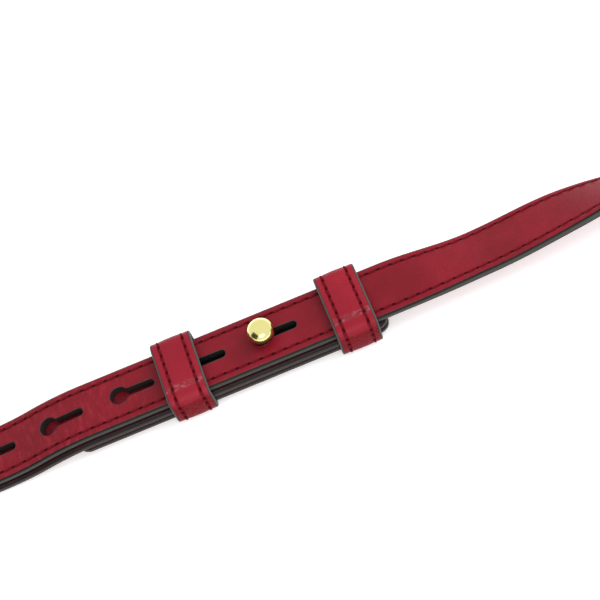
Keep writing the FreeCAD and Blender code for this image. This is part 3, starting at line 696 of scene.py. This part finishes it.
def keeper_piece(name, node):
    """Keeper leather and its two rows of stitches."""
    track = keeper_track(node)
    low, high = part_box(node)
    width = high[0] - low[0]
    a, rise = section(width, KEEPER_THICK, KEEPER_RIM, KEEPER_ROW, KEEPER_SWELL)
    run = track["run"][:-1]
    side = np.broadcast_to(a[None, :], (len(run), len(a)))
    walked, lifted = np.broadcast_to(run[:, None], side.shape), np.broadcast_to(rise[None, :], side.shape)
    points = at(track, walked, side, lifted)
    quads = grid_quads(len(run), len(a), True, True)
    count = round(track["run"][-1] / KEEPER_PITCH)
    walk = np.linspace(0, count * KEEPER_PITCH, len(run) + 1)
    inset = width / 2 - np.abs(np.append(a, a[:1]))
    uv = cell_corners(np.stack(np.meshgrid(walk, inset, indexing="ij"), axis=-1))
    leather = build(name, points.reshape(-1, 3), quads, uv)
    place = (np.arange(count) + 0.5) * track["run"][-1] / count
    rows = []
    for half_sign in (-1, 1):
        side_value = np.full(count, half_sign * KEEPER_ROW)
        turn = np.zeros(count)
        group = stitches(track, place, side_value, turn, KEEPER_THICK / 2 - KEEPER_SINK, 1,
                         long=2.7 * MM, thread=0.32 * MM)
        rows.append(stitch_piece("%s_stitches_%s" % (name, "a" if half_sign < 0 else "b"), group))
    return leather, rows


left_loop, left_rows = keeper_piece("left_loop", "keeper_left")
right_loop, right_rows = keeper_piece("right_loop", "keeper_right")

# %% [markdown]
# ## Ball stud
# The stud is turned brass: a round head a little flatter than a ball, on a short neck.
# A UV sphere would have the wrong outline, so half the outline is worked out as a
# superellipse and turned round the axis.


# %% Stud head
def turned_stud():
    """Head and neck: across = rim cos^p, rise = half sin^p with p = 2 / 2.15, turned round Z.

    Under its rim the head is flatter, so half is smaller there.
    """
    rim = (stud_high[1] - stud_low[1]) / 2
    half = 3.8 * MM
    middle = stud_high[2] - half
    neck = 2.4 * MM
    power = 2 / 2.15
    under = 3.0 * MM
    start = -math.acos((neck / rim) ** (1 / power))
    angle = np.linspace(start, math.pi / 2, 44)
    across = rim * np.clip(np.cos(angle), 0, 1) ** power
    rise = middle + np.where(angle > 0, half, -under) * np.abs(np.sin(angle)) ** power
    foot = np.linspace(stud_low[2] + 0.05 * MM, rise[0], 6)[:-1]
    across = np.concatenate([[0.0], np.full(len(foot), neck), across])
    rise = np.concatenate([[foot[0]], foot, rise])
    around = np.arange(96) * 2 * math.pi / 96
    x = STUD_X + across[:, None] * np.cos(around)[None, :]
    y = across[:, None] * np.sin(around)[None, :]
    z = np.broadcast_to(rise[:, None], x.shape)
    points = np.stack([x, y, z], axis=-1).reshape(-1, 3)
    quads = grid_quads(len(across), len(around), False, True)
    uv = grid_uv(np.linspace(0, 1, len(across)), around, close_columns=2 * math.pi)
    return build("stud_head", points, quads, uv)


stud_head = turned_stud()
print("stud head %.1f mm across" % ((stud_high[0] - stud_low[0]) / MM))

# %% [markdown]
# ## Materials
# Every finish is made of nodes. The leather reads the UV map, in metres, to know where
# the painted edge begins and where the needle went in, and Object coordinates for its
# grain. Helper functions keep the node code short.


# %% Node helpers
class Nodes:
    """Short calls for the nodes of one material."""

    def __init__(self, name):
        self.material = bpy.data.materials.new(name)
        self.material.use_nodes = True
        self.tree = self.material.node_tree
        self.shader = self.tree.nodes["Principled BSDF"]

    def add(self, kind, **values):
        """New node with its properties set."""
        node = self.tree.nodes.new(kind)
        for key, value in values.items():
            setattr(node, key, value)
        return node

    def link(self, source, target):
        """Wire from one socket to another."""
        self.tree.links.new(source, target)

    def put(self, socket, value):
        """Number or colour set on a socket, or a socket wired to it."""
        if isinstance(value, (int, float, tuple)):
            socket.default_value = value
        else:
            self.link(value, socket)

    def math(self, operation, a, b=0.0, c=0.0, clamp=False):
        """Result of one sum on up to three values."""
        node = self.add("ShaderNodeMath", operation=operation, use_clamp=clamp)
        for socket, value in zip(node.inputs, (a, b, c)):
            self.put(socket, value)
        return node.outputs[0]

    def step(self, value, low, high):
        """Smooth step, 0 at low and 1 at high; low may be the larger."""
        node = self.add("ShaderNodeMapRange", interpolation_type="SMOOTHSTEP")
        self.put(node.inputs["Value"], value)
        node.inputs["From Min"].default_value = low
        node.inputs["From Max"].default_value = high
        return node.outputs["Result"]

    def mix(self, factor, a, b):
        """Colour between a and b."""
        node = self.add("ShaderNodeMix", data_type="RGBA")
        self.put(node.inputs["Factor"], factor)
        self.put(node.inputs["A"], a)
        self.put(node.inputs["B"], b)
        return node.outputs["Result"]

    def noise(self, vector, scale, detail=3.0, rough=0.55, stretch=None):
        """Noise from 0 to 1, at its own scale along each axis if stretched."""
        if stretch:
            mapping = self.add("ShaderNodeMapping")
            self.link(vector, mapping.inputs["Vector"])
            mapping.inputs["Scale"].default_value = stretch
            vector = mapping.outputs["Vector"]
        node = self.add("ShaderNodeTexNoise")
        self.link(vector, node.inputs["Vector"])
        node.inputs["Scale"].default_value = scale
        node.inputs["Detail"].default_value = detail
        node.inputs["Roughness"].default_value = rough
        return node.outputs["Fac"]

    def cells(self, vector, scale):
        """Distance to the edge of the nearest cell, for pebbled grain."""
        node = self.add("ShaderNodeTexVoronoi", feature="DISTANCE_TO_EDGE")
        self.link(vector, node.inputs["Vector"])
        node.inputs["Scale"].default_value = scale
        return node.outputs["Distance"]

    def bump(self, height, distance, normal=None):
        """Normal tilted by a height, over another normal if given."""
        node = self.add("ShaderNodeBump")
        self.link(height, node.inputs["Height"])
        node.inputs["Distance"].default_value = distance
        node.inputs["Strength"].default_value = 1.0
        if normal is not None:
            self.link(normal, node.inputs["Normal"])
        return node.outputs["Normal"]


# %% [markdown]
# ### Leather
# V is the inset from the outline, so one number places the painted edge and another the
# row of stitching, on both faces and round the ends. Where the needle went in, once per
# stitch along U, the leather is pulled down and painted dark as painted shade of the hole.


# %% Colours
RED = (0.200, 0.0060, 0.0150, 1)
DEEP_RED = (0.150, 0.0036, 0.0095, 1)
PALE_RED = (0.270, 0.0160, 0.0300, 1)        # stretched streaks on the bent part
# painted light: the keepers' reds are lighter copies of the strap's leather reds
KEEPER_LIT_RED = (0.285, 0.0115, 0.0250, 1)
KEEPER_LIT_DEEP = (0.220, 0.0080, 0.0175, 1)
# painted shade on the near wall of a keeper
KEEPER_WALL_SHADE = (0.165, 0.0030, 0.0080, 1)
# painted highlight on the near bend of a keeper
KEEPER_BEND_HIGHLIGHT = (0.50, 0.120, 0.170, 1)
# painted shade in the needle holes
HOLE_SHADE = (0.026, 0.001, 0.003, 1)          # leather drawn down round a needle hole
# painted shade in the gap under the strap on top, along the covered leather's edges
GAP_SHADE = (0.016, 0.003, 0.005, 1)
# painted shade on the covered leather seen through the keyholes
SLOT_SHADE = (0.006, 0.003, 0.003, 1)
PAINT_TONES = (0.004, 0.0045, 0.004, 1), (0.009, 0.0095, 0.009, 1)
LIP_TONES = (0.010, 0.010, 0.010, 1), (0.022, 0.023, 0.021, 1)
# painted highlight: a paler line on the round of the painted edges
EDGE_HIGHLIGHT = (0.088, 0.090, 0.078, 1)
KEEPER_EDGE_HIGHLIGHT = (0.115, 0.112, 0.102, 1)
COVERED_EDGE_HIGHLIGHT = (0.082, 0.058, 0.054, 1)
THREAD_TONES = (0.165, 0.0050, 0.0125, 1), (0.110, 0.0030, 0.0080, 1)
# painted shade where a thread dives into its hole
THREAD_END_SHADE = (0.022, 0.001, 0.003, 1)
BRASS_TONES = (0.98, 0.91, 0.38, 1), (0.94, 0.86, 0.33, 1)
# painted dark reflection on the stud below its widest part
BRASS_DARK_REFLECTION = (0.15, 0.125, 0.04, 1)


# %% Leather
def leather(name, tone, deep, row, pitch, painted, grain=1.0, creases=0.0, covered=None):
    """Dyed grain leather with painted edges and needle holes, all placed by the UV map.

    Covered leather lies under another strap between two walks: its margin along the edge
    and its middle where the keyholes lie on it are painted dark, as painted shade under the strap on top.
    """
    n = Nodes(name)
    coordinates = n.add("ShaderNodeTexCoord").outputs["Object"]
    place = n.add("ShaderNodeSeparateXYZ")
    n.link(coordinates, place.inputs[0])
    split = n.add("ShaderNodeSeparateXYZ")
    uv = n.add("ShaderNodeUVMap", uv_map="leather").outputs["UV"]
    n.link(uv, split.inputs[0])
    walk, inset = split.outputs[0], split.outputs[1]
    # edge paint: a wavering border, and a paler line on the round of the edge: painted highlight
    wobble = n.math("MULTIPLY", n.math("SUBTRACT", n.noise(coordinates, 900.0, 2.0), 0.5), 0.30 * MM)
    edge = n.step(n.math("ADD", inset, wobble), painted + 0.10 * MM, painted - 0.10 * MM)
    line_edges = (0.75 * MM, 0.35 * MM) if creases else (0.30 * MM, 0.02 * MM)
    line = n.step(inset, *line_edges)
    # row of stitching and its needle holes
    reach = n.math("ABSOLUTE", n.math("SUBTRACT", inset, row))
    groove = n.step(reach, 0.70 * MM, 0.20 * MM)
    phase = n.math("WRAP", walk, pitch / 2, -pitch / 2)
    hole = n.math("SQRT", n.math("ADD", n.math("POWER", n.math("MULTIPLY", phase, 0.55), 2.0),
                                 n.math("POWER", reach, 2.0)))
    hole = n.step(hole, 0.62 * MM, 0.26 * MM)
    # grain: fine pebbles, pores and faint creases, a slow change of tone, and more wear
    # where the strap has been bent
    fine = n.noise(coordinates, 2400.0, 4.0, 0.65)
    pebble = n.step(n.cells(coordinates, 1350.0), 0.0, 0.28)
    crease = n.noise(coordinates, 1.0, 5.0, 0.6, stretch=(750.0, 260.0, 260.0))
    cloud = n.noise(coordinates, 55.0, 3.0)
    colour = n.mix(n.step(cloud, 0.3, 0.7), tone, deep)
    worn = n.step(place.outputs[0], STUD_X - 30 * MM, STUD_X - 70 * MM)
    furrow = n.step(crease, 0.45, 0.66)
    pale = n.math("ADD", 0.10, n.math("MULTIPLY", worn, 0.55))
    streak = n.math("MULTIPLY", n.step(crease, 0.47, 0.34), pale)
    colour = n.mix(streak, colour, PALE_RED)
    furrow = n.math("MULTIPLY", furrow, n.math("ADD", 0.30, n.math("MULTIPLY", worn, 0.45)))
    colour = n.mix(furrow, colour, deep)
    colour = n.mix(n.math("MULTIPLY", n.step(pebble, 0.6, 0.0), 0.22), colour, deep)
    # painted shade in the groove under the row of stitching
    colour = n.mix(n.math("MULTIPLY", groove, 0.22), colour, deep)
    if creases:
        # painted highlight on the near bend of a keeper, which is also wrinkled, and painted shade on its
        # wall
        above = n.step(place.outputs[2], LONG_TOP - 0.6 * MM, LONG_TOP + 0.8 * MM)
        folds = n.noise(coordinates, 1.0, 4.0, 0.6, stretch=(520.0, 900.0, 900.0))
        bend = n.math("MULTIPLY", n.step(place.outputs[1], -5.4 * MM, -6.8 * MM),
                      n.step(place.outputs[1], -9.0 * MM, -7.8 * MM))
        bend = n.math("MULTIPLY", bend, above)
        bend_highlight = n.math("MULTIPLY", bend, n.step(folds, 0.50, 0.64))
        colour = n.mix(n.math("SUBTRACT", 1.0, above), colour, KEEPER_WALL_SHADE)
        colour = n.mix(n.math("MULTIPLY", bend_highlight, 0.34), colour, KEEPER_BEND_HIGHLIGHT)
    if covered:
        # painted shade along the covered edges, in the gap under the strap on top
        gap_shade = n.math("MULTIPLY", n.step(n.math("ADD", inset, wobble), 2.4 * MM, 1.6 * MM), 0.95)
        gap_shade = n.math("MULTIPLY", gap_shade, n.step(walk, covered[1] + 1 * MM, covered[1] - 2 * MM))
        colour = n.mix(gap_shade, colour, GAP_SHADE)
        # painted shade on the covered middle, seen through the keyholes
        slot_shade = n.math("MULTIPLY", n.step(walk, covered[0], covered[0] + 4 * MM),
                       n.step(walk, covered[1], covered[1] - 4 * MM))
        slot_shade = n.math("MULTIPLY", slot_shade, n.step(inset, 5.5 * MM, 6.5 * MM))
        colour = n.mix(slot_shade, colour, SLOT_SHADE)
    # painted shade in the needle holes
    colour = n.mix(n.math("MULTIPLY", hole, 0.88), colour, HOLE_SHADE)
    paint = n.mix(n.noise(coordinates, 700.0, 3.0), *PAINT_TONES)
    # painted highlight: the paler line on the round of the painted edge
    highlight_tone = KEEPER_EDGE_HIGHLIGHT if creases else COVERED_EDGE_HIGHLIGHT if covered else EDGE_HIGHLIGHT
    paint = n.mix(n.math("MULTIPLY", line, 0.6), paint, highlight_tone)
    n.link(n.mix(edge, colour, paint), n.shader.inputs["Base Color"])
    rough = n.math("ADD", 0.28 if creases else 0.36, n.math("MULTIPLY", fine, 0.20))
    rough = n.math("MULTIPLY", rough, n.math("SUBTRACT", 1.0, edge))
    rough = n.math("ADD", rough, n.math("MULTIPLY", edge, 0.42))
    n.link(rough, n.shader.inputs["Roughness"])
    gloss = n.math("ADD", 0.16, n.math("MULTIPLY", bend, 0.22)) if creases else 0.20
    shine = n.math("MULTIPLY", gloss, n.math("SUBTRACT", 1.0, edge))
    shine = n.math("ADD", shine, n.math("MULTIPLY", edge, 0.13))
    n.link(n.math("MULTIPLY", shine, n.math("SUBTRACT", 1.0, n.math("MULTIPLY", hole, 0.85))),
           n.shader.inputs["Specular IOR Level"])
    relief = n.math("ADD", n.math("MULTIPLY", fine, 0.45), n.math("MULTIPLY", pebble, 0.40))
    depth = n.math("ADD", 0.45, n.math("MULTIPLY", worn, 1.5))
    relief = n.math("ADD", relief, n.math("MULTIPLY", crease, depth))
    if creases:
        wrinkle = n.math("MULTIPLY", n.step(folds, 0.38, 0.62), n.math("ADD", 0.15, bend))
        relief = n.math("ADD", relief, n.math("MULTIPLY", wrinkle, creases))
    relief = n.math("MULTIPLY", relief, n.math("SUBTRACT", 1.0, n.math("MULTIPLY", edge, 0.8)))
    surface = n.bump(relief, 0.08 * MM * grain)
    pull = n.math("ADD", n.math("MULTIPLY", hole, 0.8), n.math("MULTIPLY", groove, 0.2))
    pulled = n.math("SUBTRACT", 1.0, pull)
    n.link(n.bump(pulled, 0.30 * MM, normal=surface), n.shader.inputs["Normal"])
    return n.material


def paint_material(name):
    """Edge paint alone, for the walls of the holes."""
    n = Nodes(name)
    coordinates = n.add("ShaderNodeTexCoord").outputs["Object"]
    blotch = n.noise(coordinates, 700.0, 3.0)
    n.link(n.mix(blotch, *LIP_TONES), n.shader.inputs["Base Color"])
    n.shader.inputs["Roughness"].default_value = 0.38
    n.link(n.bump(n.noise(coordinates, 1500.0), 0.04 * MM), n.shader.inputs["Normal"])
    return n.material


def thread_material(name):
    """Waxed thread: twisted strands as slanting ridges, painted darker where it dives into the leather as
    painted shade.
    """
    n = Nodes(name)
    coordinates = n.add("ShaderNodeTexCoord").outputs["Object"]
    uv = n.add("ShaderNodeUVMap", uv_map="leather").outputs["UV"]
    split = n.add("ShaderNodeSeparateXYZ")
    n.link(uv, split.inputs[0])
    dive = n.step(n.math("ABSOLUTE", split.outputs[0]), 0.62, 0.95)
    strand = n.math("SINE", n.math("ADD", n.math("MULTIPLY", split.outputs[0], 16.0),
                                   n.math("MULTIPLY", split.outputs[1], math.pi / 3 * 2)))
    fuzz = n.noise(coordinates, 4000.0, 3.0)
    colour = n.mix(fuzz, *THREAD_TONES)
    # painted shade at the thread's ends
    n.link(n.mix(n.math("MULTIPLY", dive, 0.9), colour, THREAD_END_SHADE), n.shader.inputs["Base Color"])
    n.shader.inputs["Roughness"].default_value = 0.7
    n.shader.inputs["Specular IOR Level"].default_value = 0.12
    n.link(n.bump(strand, 0.05 * MM), n.shader.inputs["Normal"])
    return n.material


def brass_material(name):
    """Polished pale brass with faint turning marks, rougher below the head's widest part and painted dark
    there as a painted reflection of the shaded strap.
    """
    n = Nodes(name)
    coordinates = n.add("ShaderNodeTexCoord").outputs["Object"]
    n.shader.inputs["Metallic"].default_value = 1.0
    smudge = n.noise(coordinates, 500.0, 3.0)
    place = n.add("ShaderNodeSeparateXYZ")
    n.link(coordinates, place.inputs[0])
    under_rim = n.step(n.math("ADD", place.outputs[2], n.math("MULTIPLY", smudge, 0.6 * MM)),
                  stud_high[2] - 2.3 * MM, stud_high[2] - 3.8 * MM)
    bright = n.mix(smudge, *BRASS_TONES)
    # painted dark reflection below the head's widest part
    n.link(n.mix(under_rim, bright, BRASS_DARK_REFLECTION), n.shader.inputs["Base Color"])
    rough = n.math("ADD", 0.12, n.math("MULTIPLY", smudge, 0.10))
    n.link(n.math("ADD", rough, n.math("MULTIPLY", under_rim, 0.12)), n.shader.inputs["Roughness"])
    rings = n.noise(coordinates, 1.0, 2.0, stretch=(40.0, 40.0, 9000.0))
    n.link(n.bump(rings, 0.004 * MM), n.shader.inputs["Normal"])
    return n.material


PAINT = 0.62 * MM            # how far the edge paint reaches in over the face
strap_leather = leather("strap_leather", RED, DEEP_RED, WIDTH / 2 - ROW, PITCH, PAINT)
under_leather = leather("under_leather", RED, DEEP_RED, WIDTH / 2 - ROW, PITCH, PAINT,
                        covered=(172 * MM, 234 * MM))
keeper_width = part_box("keeper_left")[1][0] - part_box("keeper_left")[0][0]
keeper_row = keeper_width / 2 - KEEPER_ROW
keeper_leather = leather("keeper_leather", KEEPER_LIT_RED, KEEPER_LIT_DEEP, keeper_row, KEEPER_PITCH, 0.7 * MM,
                         grain=1.2, creases=2.6)
edge_paint = paint_material("edge_paint")
thread = thread_material("waxed_thread")
brass = brass_material("stud_brass_finish")


# %% [markdown]
# ## Dressing the pieces
# Each piece rides on its CAD body and replaces the plain solids it stands for.


# %% Dress
def dress(piece, material, body, slot, *nodes):
    """Give a piece its material and body, and hide the CAD nodes it stands for; the slot argument is not
    used.
    """
    piece.data.materials.clear()
    piece.data.materials.append(material)
    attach(piece, body)
    if nodes:
        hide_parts(*nodes)


dress(long_strap, strap_leather, "straps", "red_leather",
      "long_strap_face", "long_strap_lining", "stored_length")
dress(tail_strap, under_leather, "straps", "red_leather", "tail_strap_face", "tail_strap_lining")
dress(patch, under_leather, "straps", "red_leather", "backing_patch")
for lip in (keyhole_lips, far_lip, tail_lip):
    dress(lip, edge_paint, "straps", "red_leather")
dress(long_near, thread, "straps", "red_thread", "long_strap_thread_near")
dress(long_far, thread, "straps", "red_thread", "long_strap_thread_far")
dress(tail_near, thread, "straps", "red_thread", "tail_strap_thread_near")
dress(tail_far, thread, "straps", "red_thread", "tail_strap_thread_far")
dress(patch_stitches, thread, "straps", "red_thread")
dress(patch_stitches_near, thread, "straps", "red_thread")
dress(left_loop, keeper_leather, "left_keeper", "keeper_leather", "keeper_left")
dress(right_loop, keeper_leather, "right_keeper", "keeper_leather", "keeper_right")
keeper_rows = ((left_rows, "left_keeper", "keeper_left"), (right_rows, "right_keeper", "keeper_right"))
for rows, body, node in keeper_rows:
    for row_piece, letter in zip(rows, "ab"):
        dress(row_piece, thread, body, "red_thread", "%s_thread_%s" % (node, letter))
dress(stud_head, brass, "straps", "stud_brass", "stud_ball")
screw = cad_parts["stud_screw"]
for slot_place in screw.material_slots:
    slot_place.material = brass

# %% [markdown]
# ## Floor, light and camera
# A pale floor and a pale sky give soft light from all round. A lamp on the right brightens
# the faces and leaves no glare on them, and one above the front also shows in the stud.
# Two dark cards are seen in mirrors only: one gives the polished brass something to reflect, and a strip on
# the floor in front of the strap is a painted shadow of the floor, mirrored in the keepers and the painted
# edges.


# %% Floor
def floor():
    """Wide pale floor at the height the strap lies on."""
    half = 3.0
    corners = [(-half, -half, 0), (half, -half, 0), (half, half, 0), (-half, half, 0)]
    mesh = bpy.data.meshes.new("floor")
    mesh.from_pydata(corners, [], [(0, 1, 2, 3)])
    piece = bpy.data.objects.new("floor", mesh)
    scene.collection.objects.link(piece)
    n = Nodes("floor_white")
    n.shader.inputs["Base Color"].default_value = (0.93, 0.93, 0.93, 1)
    n.shader.inputs["Roughness"].default_value = 0.9
    n.shader.inputs["Specular IOR Level"].default_value = 0.1
    mesh.materials.append(n.material)
    n.shader.inputs["Emission Color"].default_value = (1, 1, 1, 1)
    n.shader.inputs["Emission Strength"].default_value = 0.30


floor()


# %% Light
def lamp(name, place, aim, size, power, mirrored):
    """Lamp turned to a point. A lamp that isn't mirrored lights a surface but leaves no glare on it."""
    data = bpy.data.lights.new(name, "AREA")
    data.shape = "RECTANGLE"
    data.size, data.size_y = size
    data.energy = power
    piece = bpy.data.objects.new(name, data)
    piece.location = place
    piece.rotation_euler = (Vector(aim) - Vector(place)).to_track_quat("-Z", "Y").to_euler()
    piece.visible_glossy = mirrored
    scene.collection.objects.link(piece)


def card(name, place, aim, width, height, tone):
    """Card that only mirrors see, turned to a point."""
    mesh = bpy.data.meshes.new(name)
    x, y = width / 2, height / 2
    mesh.from_pydata([(-x, -y, 0), (x, -y, 0), (x, y, 0), (-x, y, 0)], [], [(0, 1, 2, 3)])
    piece = bpy.data.objects.new(name, mesh)
    piece.location = place
    piece.rotation_euler = (Vector(aim) - Vector(place)).to_track_quat("Z", "Y").to_euler()
    scene.collection.objects.link(piece)
    n = Nodes(name)
    n.shader.inputs["Base Color"].default_value = (tone, tone, tone, 1)
    n.shader.inputs["Roughness"].default_value = 0.9
    mesh.materials.append(n.material)
    piece.visible_camera = piece.visible_diffuse = piece.visible_shadow = False


world = bpy.data.worlds.new("sky")
world.use_nodes = True
world.node_tree.nodes["Background"].inputs["Color"].default_value = (1, 1, 1, 1)
world.node_tree.nodes["Background"].inputs["Strength"].default_value = 0.87
scene.world = world
target = (STUD_X, 0, 0.01)
lamp("daylight", (STUD_X + 0.40, 0.08, 0.36), target, (0.4, 0.4), 2.0, False)
lamp("window", (STUD_X - 0.045, -0.52, 0.47), target, (0.40, 0.17), 1.8, True)
card("dark_card", (STUD_X - 0.435, -0.158, 0.26), target, 0.50, 0.50, 0.02)
# painted shadow: a dark strip on the floor in front of the strap, seen only in mirrors
card("floor_shade_strip", (STUD_X, -0.036, 0.0004), (STUD_X, -0.036, 1), 0.60, 0.044, 0.02)
scene.view_settings.view_transform = "Standard"
scene.view_settings.look = "None"


# %% Camera
def camera(aim, elevation, azimuth, roll, distance, lens):
    """Camera on a sphere round a point; roll turns it about its own line of sight."""
    el, az, turn = (math.radians(v) for v in (elevation, azimuth, roll))
    away = Vector((-math.sin(az) * math.cos(el), -math.cos(az) * math.cos(el), math.sin(el)))
    right = (-away).cross(Vector((0, 0, 1))).normalized()
    up = right.cross(-away)
    turned_right = math.cos(turn) * right + math.sin(turn) * up
    turned_up = -math.sin(turn) * right + math.cos(turn) * up
    data = bpy.data.cameras.new("camera")
    data.lens = lens
    data.sensor_width = 36
    data.clip_start = 0.01
    piece = bpy.data.objects.new("camera", data)
    basis = Matrix((turned_right, turned_up, away)).transposed()
    piece.matrix_world = Matrix.Translation(Vector(aim) + away * distance) @ basis.to_4x4()
    scene.collection.objects.link(piece)
    scene.camera = piece


camera(aim=(STUD_X + 15.6 * MM, 7.68 * MM, LONG_TOP), elevation=57.82, azimuth=-0.20, roll=-22.47,
       distance=456.7 * MM, lens=83.54)

# %% Update
bpy.context.view_layer.update()
